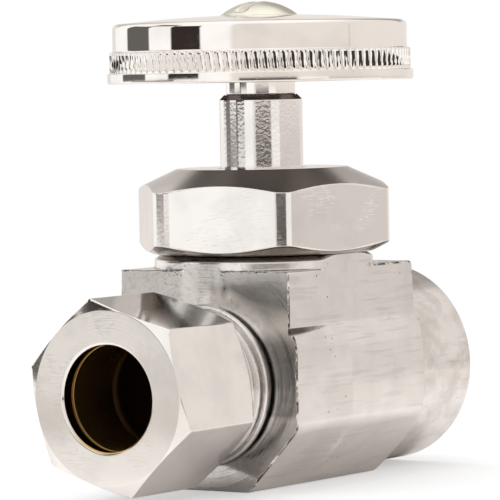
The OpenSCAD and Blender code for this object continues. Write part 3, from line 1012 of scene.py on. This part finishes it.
def dark_edges_and_seam_shade(tree, along, z, ahead, wander):
    """Darkening along the sheared top edge and round the front face, and painted shade in the seam
    under the packing nut.
    """
    sheared = times(
        tree, band(tree, z, BLOCK_TOP * MM, 0.10 * MM, 0.15 * MM),
        ramp(tree, along, 3.0 * MM, 5.0 * MM), ramp(tree, wander, 0.40, 0.54))
    torn = times(
        tree, ramp(tree, along, (BLOCK_FRONT + 0.30) * MM, (BLOCK_FRONT + 0.12) * MM),
        ramp(tree, along, (BLOCK_FRONT - 0.12) * MM, BLOCK_FRONT * MM),
        ramp(tree, ahead, -0.97, -0.8), ramp(tree, wander, 0.42, 0.52))
    # Painted shade where the packing nut sits on the boss
    seam = ramp(tree, z, (BOSS_TOP - 0.22) * MM, (BOSS_TOP - 0.06) * MM, 0.0, 0.8)
    return calc(tree, "MAXIMUM", calc(tree, "MAXIMUM", sheared, torn), seam)


def body_material():
    """Satin cast sides, a turned front face with painted shade round the spout, a mottled barrel,
    painted shade in the waist's crease and under the packing nut, darkened edges, and bare passages
    darkened with painted shade.
    """
    material, tree, shader, place, colour, rough = plated(
        "plated_body_cast", CAST, 0.20, 1.2e-6, (60.0, 2600.0, 2600.0), 2.2e-6,
        rings=turned_rings(0, 6.0e-6, 4500.0), pit=0.24)
    x, y, z = parts(tree, place)
    along = calc(tree, "SUBTRACT", x, STEM_X * MM)
    ahead = facing(tree)[0]
    # Mottling, strong on the barrel and faint on the block
    cloud = ramp(tree, noise(tree, place, 380.0, 4.0, 0.62), 0.40, 0.66)
    barrel = ramp(tree, along, (BLOCK_REAR + 0.1) * MM, (BLOCK_REAR + 1.6) * MM, 0.25, 1.0)
    colour = mixed(tree, times(tree, cloud, barrel), colour, (0.69, 0.665, 0.64))
    # Lengthwise streaks and brown flecks
    streaks = noise(tree, stretched(tree, place, (170.0, 2300.0, 2300.0)), 1.0, 2.0)
    streaks = times(tree, ramp(tree, streaks, 0.52, 0.70), 0.5)
    colour = mixed(tree, streaks, colour, (0.66, 0.64, 0.62))
    patches = ramp(tree, noise(tree, place, 170.0, 1.0), 0.60, 0.66)
    flecks = times(tree, pits(tree, place, 2300.0, 0.25, 0.5), patches)
    colour = mixed(tree, flecks, colour, (0.30, 0.22, 0.13))
    wander = noise(tree, place, 900.0, 3.0)
    # Painted shade in the waist's crease and under the packing nut, and darkened edges
    painted_shade_and_dark_edges = calc(tree, "MAXIMUM", crease_painted_shade(tree, along, y, z, wander),
                dark_edges_and_seam_shade(tree, along, z, ahead, wander))
    colour = mixed(tree, painted_shade_and_dark_edges, colour, (0.09, 0.07, 0.06))
    # The turned front face is darkened round the spout with painted shade, and glossier than the cast
    # sides there
    low = ramp(tree, z, 5.6 * MM, 3.6 * MM)
    face = times(tree, ramp(tree, ahead, -0.90, -0.97),
                 band(tree, along, BLOCK_FRONT * MM, 0.05 * MM, 0.05 * MM))
    kept = ramp(tree, z, -2.4 * MM, -3.0 * MM, 0.42, 0.75)
    shaded_face = mixed(tree, kept, (0.0, 0.0, 0.0), colour)
    colour = mixed(tree, times(tree, low, face), colour, shaded_face)
    gloss = times(tree, ramp(tree, ahead, -0.85, -0.97),
                  ramp(tree, z, 7.0 * MM, 4.0 * MM, 0.1, 1.0))
    rough = times(tree, rough, ramp(tree, gloss, 0.0, 1.0, 1.0, 0.42))
    # Bare passages, painted nearly black as shade inside them
    bare_and_shaded = mark(tree, "bare_and_shaded")
    colour = mixed(tree, bare_and_shaded, colour, (0.085, 0.055, 0.03))
    paint(tree, shader, colour, plus(tree, rough, times(tree, bare_and_shaded, 0.22)))
    return material


def bonnet_material():
    """Bright plating with a brushed cone on top, and painted shade on the slope underneath."""
    material, tree, shader, _, colour, rough = plated(
        "plated_bonnet", WARM, 0.07, 2.6e-6, (900.0, 900.0, 2600.0), 1.4e-6,
        rings=turned_rings(2, 7e-6, 5200.0, STEM_AXIS), scratch=2e-6, pit=0.05)
    up = facing(tree)[2]
    # Painted shade: faces that look downward are darkened
    foot = ramp(tree, up, -0.5, -0.75)
    cone = band(tree, up, CONE_UP, 0.04, 0.03)
    colour = mixed(tree, foot, colour, (0.24, 0.21, 0.185))
    paint(tree, shader, colour, plus(tree, rough, times(tree, cone, 0.22)))
    return material


def nut_material():
    """Turned plating, with brass where it is worn or was never plated."""
    material, tree, shader, _, colour, _ = plated(
        "plated_nut_turned", WARM, 0.10, 1.0e-6, (200.0, 2400.0, 2400.0), 1.0e-6,
        rings=turned_rings(0, 1.6e-6, 5200.0), scratch=1.2e-6, pit=0.04)
    paint(tree, shader, mixed(tree, mark(tree, "bare_and_shaded"), colour, (0.62, 0.42, 0.15)))
    return material


def stem_material():
    return plated(
        "plated_stem_turned", WARM, 0.06, 5.0e-6, (2400.0, 2400.0, 300.0), 1.0e-6, pit=0.05)[0]


def wheel_material():
    """Polished chrome, dull in the hollow underneath and darkened there with painted shade."""
    material, tree, shader, _, colour, rough = plated(
        "polished_wheel", (0.96, 0.935, 0.91), 0.03, 1.5e-7, (500.0, 500.0, 500.0), 3e-7)
    under = mark(tree, "under")
    colour = mixed(tree, under, colour, (0.19, 0.165, 0.15))
    paint(tree, shader, colour, plus(tree, rough, times(tree, under, 0.4)))
    return material


def screw_material():
    return plated(
        "zinc_screw", (0.93, 0.92, 0.82), 0.22, 2.0e-6, (3000.0, 3000.0, 3000.0), 1e-6, pit=0.05)[0]


def brass_material():
    return plated(
        "bare_brass_turned", (0.56, 0.38, 0.15), 0.26, 2.0e-7, (4200.0, 300.0, 300.0), 4e-7)[0]


def soft_material(name, colour, roughness):
    """Rubber, nylon or fibre: a fine grain and uneven colour."""
    material, tree, shader, place = start_material(name)
    mottle = noise(tree, place, 700.0, 4.0, 0.65)
    dark = tuple(c * 0.6 for c in colour)
    paint(tree, shader, mixed(tree, ramp(tree, mottle, 0.3, 0.7), dark, colour),
          ramp(tree, mottle, 0.3, 0.7, roughness, roughness + 0.15))
    set_bump(tree, shader, times(tree, noise(tree, place, 5000.0, 3.0), 8e-6))
    return material


def dress_node(node, material):
    """Give a CAD node that is kept as it is its material."""
    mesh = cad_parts[node].data
    mesh.materials.clear()
    mesh.materials.append(material)


# -------- stage and light

WHITE = (1.04, 1.02, 0.99)
BLACK = (0.05, 0.04, 0.035)
# Rises in degrees: below everything, the floor's far edge and its near part
BELOW = -91.0
EDGE_OF_FLOOR = -0.66
NEAR_FLOOR = -2.3
# What the plating mirrors: bearings from and to, their softness, rises from and to, theirs, colour.
# Each covers the ones before it.
PANELS = {
    "left wall": (60.0, 192.0, 3.0, BELOW, 55.0, 3.0, WHITE),
    "wall behind": (3.0, 34.0, 4.0, 12.0, 44.0, 4.0, (0.40, 0.365, 0.34)),
    "paler wall": (34.0, 64.0, 4.0, 12.0, 44.0, 4.0, (0.60, 0.56, 0.53)),
    "right floor": (262.0, 350.0, 8.0, BELOW, EDGE_OF_FLOOR, 0.08, (0.68, 0.63, 0.595)),
    "left floor": (118.0, 145.2, 0.3, BELOW, NEAR_FLOOR, 0.2, (0.86, 0.82, 0.78)),
    "grey stand": (88.0, 118.0, 1.0, -0.6, 26.0, 0.06, (0.13, 0.12, 0.11)),
    "dark stand": (141.0, 167.0, 1.0, -0.6, 26.0, 0.06, (0.035, 0.026, 0.022)),
    "stand's floor": (145.4, 167.0, 0.25, -9.0, NEAR_FLOOR, 0.2, (0.66, 0.62, 0.59)),
    "card above": (112.0, 140.0, 1.5, 27.0, 42.0, 1.5, BLACK),
    "left skirting": (100.0, 146.0, 1.5, NEAR_FLOOR, EDGE_OF_FLOOR, 0.08, (0.22, 0.19, 0.17)),
    "front skirting": (198.0, 241.0, 1.0, -6.0, EDGE_OF_FLOOR, 0.08, (0.10, 0.085, 0.075)),
    "front strip": (243.0, 266.0, 1.0, -6.0, EDGE_OF_FLOOR, 0.08, WHITE),
    "card below": (199.0, 262.0, 1.5, -34.0, -6.0, 0.5, BLACK),
    "bright card": (263.5, 318.0, 1.5, -34.0, -6.0, 0.5, (1.10, 1.08, 1.05)),
    "thin post": (287.2, 288.2, 0.4, 0.0, 20.0, 0.1, (0.66, 0.61, 0.57)),
}


def span(tree, value, low, high, soft):
    return times(tree, ramp(tree, value, low - soft, low + soft),
                 ramp(tree, value, high + soft, high - soft))


def world_light():
    """A white studio to the left, a warm grey one to the right, with dark stands between."""
    world = bpy.data.worlds.new("studio")
    bpy.context.scene.world = world
    world.use_nodes = True
    tree = world.node_tree
    tree.nodes.clear()
    x, y, z = parts(tree, add(tree, "ShaderNodeTexCoord").outputs["Generated"])
    degrees = 180 / math.pi
    bearing = times(tree, calc(tree, "ARCTAN2", y, x), degrees)
    bearing = calc(tree, "WRAP", bearing, 360.0, 0.0)
    rise = times(tree, calc(tree, "ARCSINE", z), degrees)
    colour = mixed(tree, ramp(tree, rise, 35.0, 75.0), (0.84, 0.785, 0.74), (1.15, 1.12, 1.08))
    for left, right, soft, low, high, edge, shade in PANELS.values():
        cover = times(tree, span(tree, bearing, left, right, soft), span(tree, rise, low, high, edge))
        colour = mixed(tree, cover, colour, shade)
    seen = add(tree, "ShaderNodeLightPath").outputs["Is Camera Ray"]
    colour = mixed(tree, seen, colour, (1.0, 1.0, 1.0))
    background = add(tree, "ShaderNodeBackground", {"Color": colour, "Strength": 1.0})
    output = add(tree, "ShaderNodeOutputWorld")
    tree.links.new(background.outputs[0], output.inputs[0])


FLOOR_R = 0.45
FLOOR_SIDES = 64
FLOOR_DROP = 0.00002
LEFTWARD = (-0.83, 0.56)


def floor_material():
    """Pale and slightly lit for the camera; dimmer in reflections, and ending close by."""
    material, tree, shader, place = start_material("pale_floor")
    seen = add(tree, "ShaderNodeLightPath").outputs["Is Camera Ray"]
    grain = noise(tree, place, 900.0, 3.0)
    pale = mixed(tree, ramp(tree, grain, 0.2, 0.8), (0.54, 0.56, 0.58), (0.535, 0.555, 0.575))
    x, y, _ = parts(tree, place)
    out = off_axis(tree, x, y)
    leftward = plus(tree, times(tree, x, LEFTWARD[0]), times(tree, y, LEFTWARD[1]))
    # In reflections the floor carries painted light and shade, changing with distance and direction
    # from the valve
    mirrored = mixed(tree, ramp(tree, out, 0.03, 0.06), (0.88, 0.86, 0.86), (0.76, 0.73, 0.71))
    mirrored = mixed(tree, ramp(tree, leftward, 0.035, 0.06), mirrored, (0.70, 0.69, 0.68))
    mirrored = mixed(tree, ramp(tree, leftward, 0.085, 0.10), mirrored, (0.50, 0.47, 0.44))
    paint(tree, shader, mixed(tree, seen, mirrored, pale))
    shader.inputs["Emission Color"].default_value = (1, 1, 1, 1)
    tree.links.new(times(tree, seen, 0.45), shader.inputs["Emission Strength"])
    shader.inputs["Roughness"].default_value = 0.8
    shader.inputs["Specular IOR Level"].default_value = 0.1
    fade = add(tree, "ShaderNodeMix", {
        0: seen, 2: ramp(tree, out, 0.134, 0.142), 3: ramp(tree, out, 0.10, 0.42)}).outputs[0]
    clear = add(tree, "ShaderNodeBsdfTransparent")
    blend = add(tree, "ShaderNodeMixShader", {0: fade, 1: shader.outputs[0], 2: clear.outputs[0]})
    output = next(node for node in tree.nodes if node.type == "OUTPUT_MATERIAL")
    tree.links.new(blend.outputs[0], output.inputs[0])
    return material


def make_floor():
    mesh = bpy.data.meshes.new("floor")
    turns = [2 * math.pi * k / FLOOR_SIDES for k in range(FLOOR_SIDES)]
    ring = [(FLOOR_R * math.cos(turn), FLOOR_R * math.sin(turn), 0) for turn in turns]
    mesh.from_pydata(ring, [], [tuple(range(FLOOR_SIDES))])
    mesh.materials.append(floor_material())
    floor = bpy.data.objects.new("floor", mesh)
    floor.location = (STEM_X * MM, 0, FLOOR_Z * MM - FLOOR_DROP)
    bpy.context.scene.collection.objects.link(floor)


def make_lamp(name, place, size, power, aim):
    """A soft lamp that isn't seen itself."""
    data = bpy.data.lights.new(name, "AREA")
    data.shape = "RECTANGLE"
    data.size, data.size_y = size
    data.energy = power
    lamp = bpy.data.objects.new(name, data)
    lamp.location = place
    lamp.rotation_euler = (aim - place).to_track_quat("-Z", "Y").to_euler()
    lamp.visible_glossy = False
    lamp.visible_camera = False
    bpy.context.scene.collection.objects.link(lamp)


def make_stage():
    world_light()
    make_floor()
    under_stem = Vector((STEM_X * MM, 0, 0))
    make_lamp("overhead", under_stem + Vector((-0.1, 0.15, 0.7)), (0.6, 0.6), 2.6, under_stem)
    bpy.context.scene.view_settings.view_transform = "Standard"


def make_valve():
    make_body(body_material())
    make_packing_nut(bonnet_material())
    make_compression_nut(nut_material())
    make_sleeve(brass_material())
    make_stem(stem_material())
    make_wheel(wheel_material())
    make_wheel_screw(screw_material())
    dress_node("nut_gasket", soft_material("red_fibre_paper", (0.42, 0.06, 0.04), 0.75))
    dress_node("gland_bushing", brass_material())
    dress_node("friction_ring", soft_material("white_nylon_ring", (0.75, 0.73, 0.68), 0.45))
    rubber = soft_material("black_rubber_seal", (0.03, 0.03, 0.03), 0.6)
    dress_node("stem_packing", rubber)
    dress_node("seat_washer", rubber)
    dress_node("seat_washer_screw", brass_material())


make_stage()
make_valve()
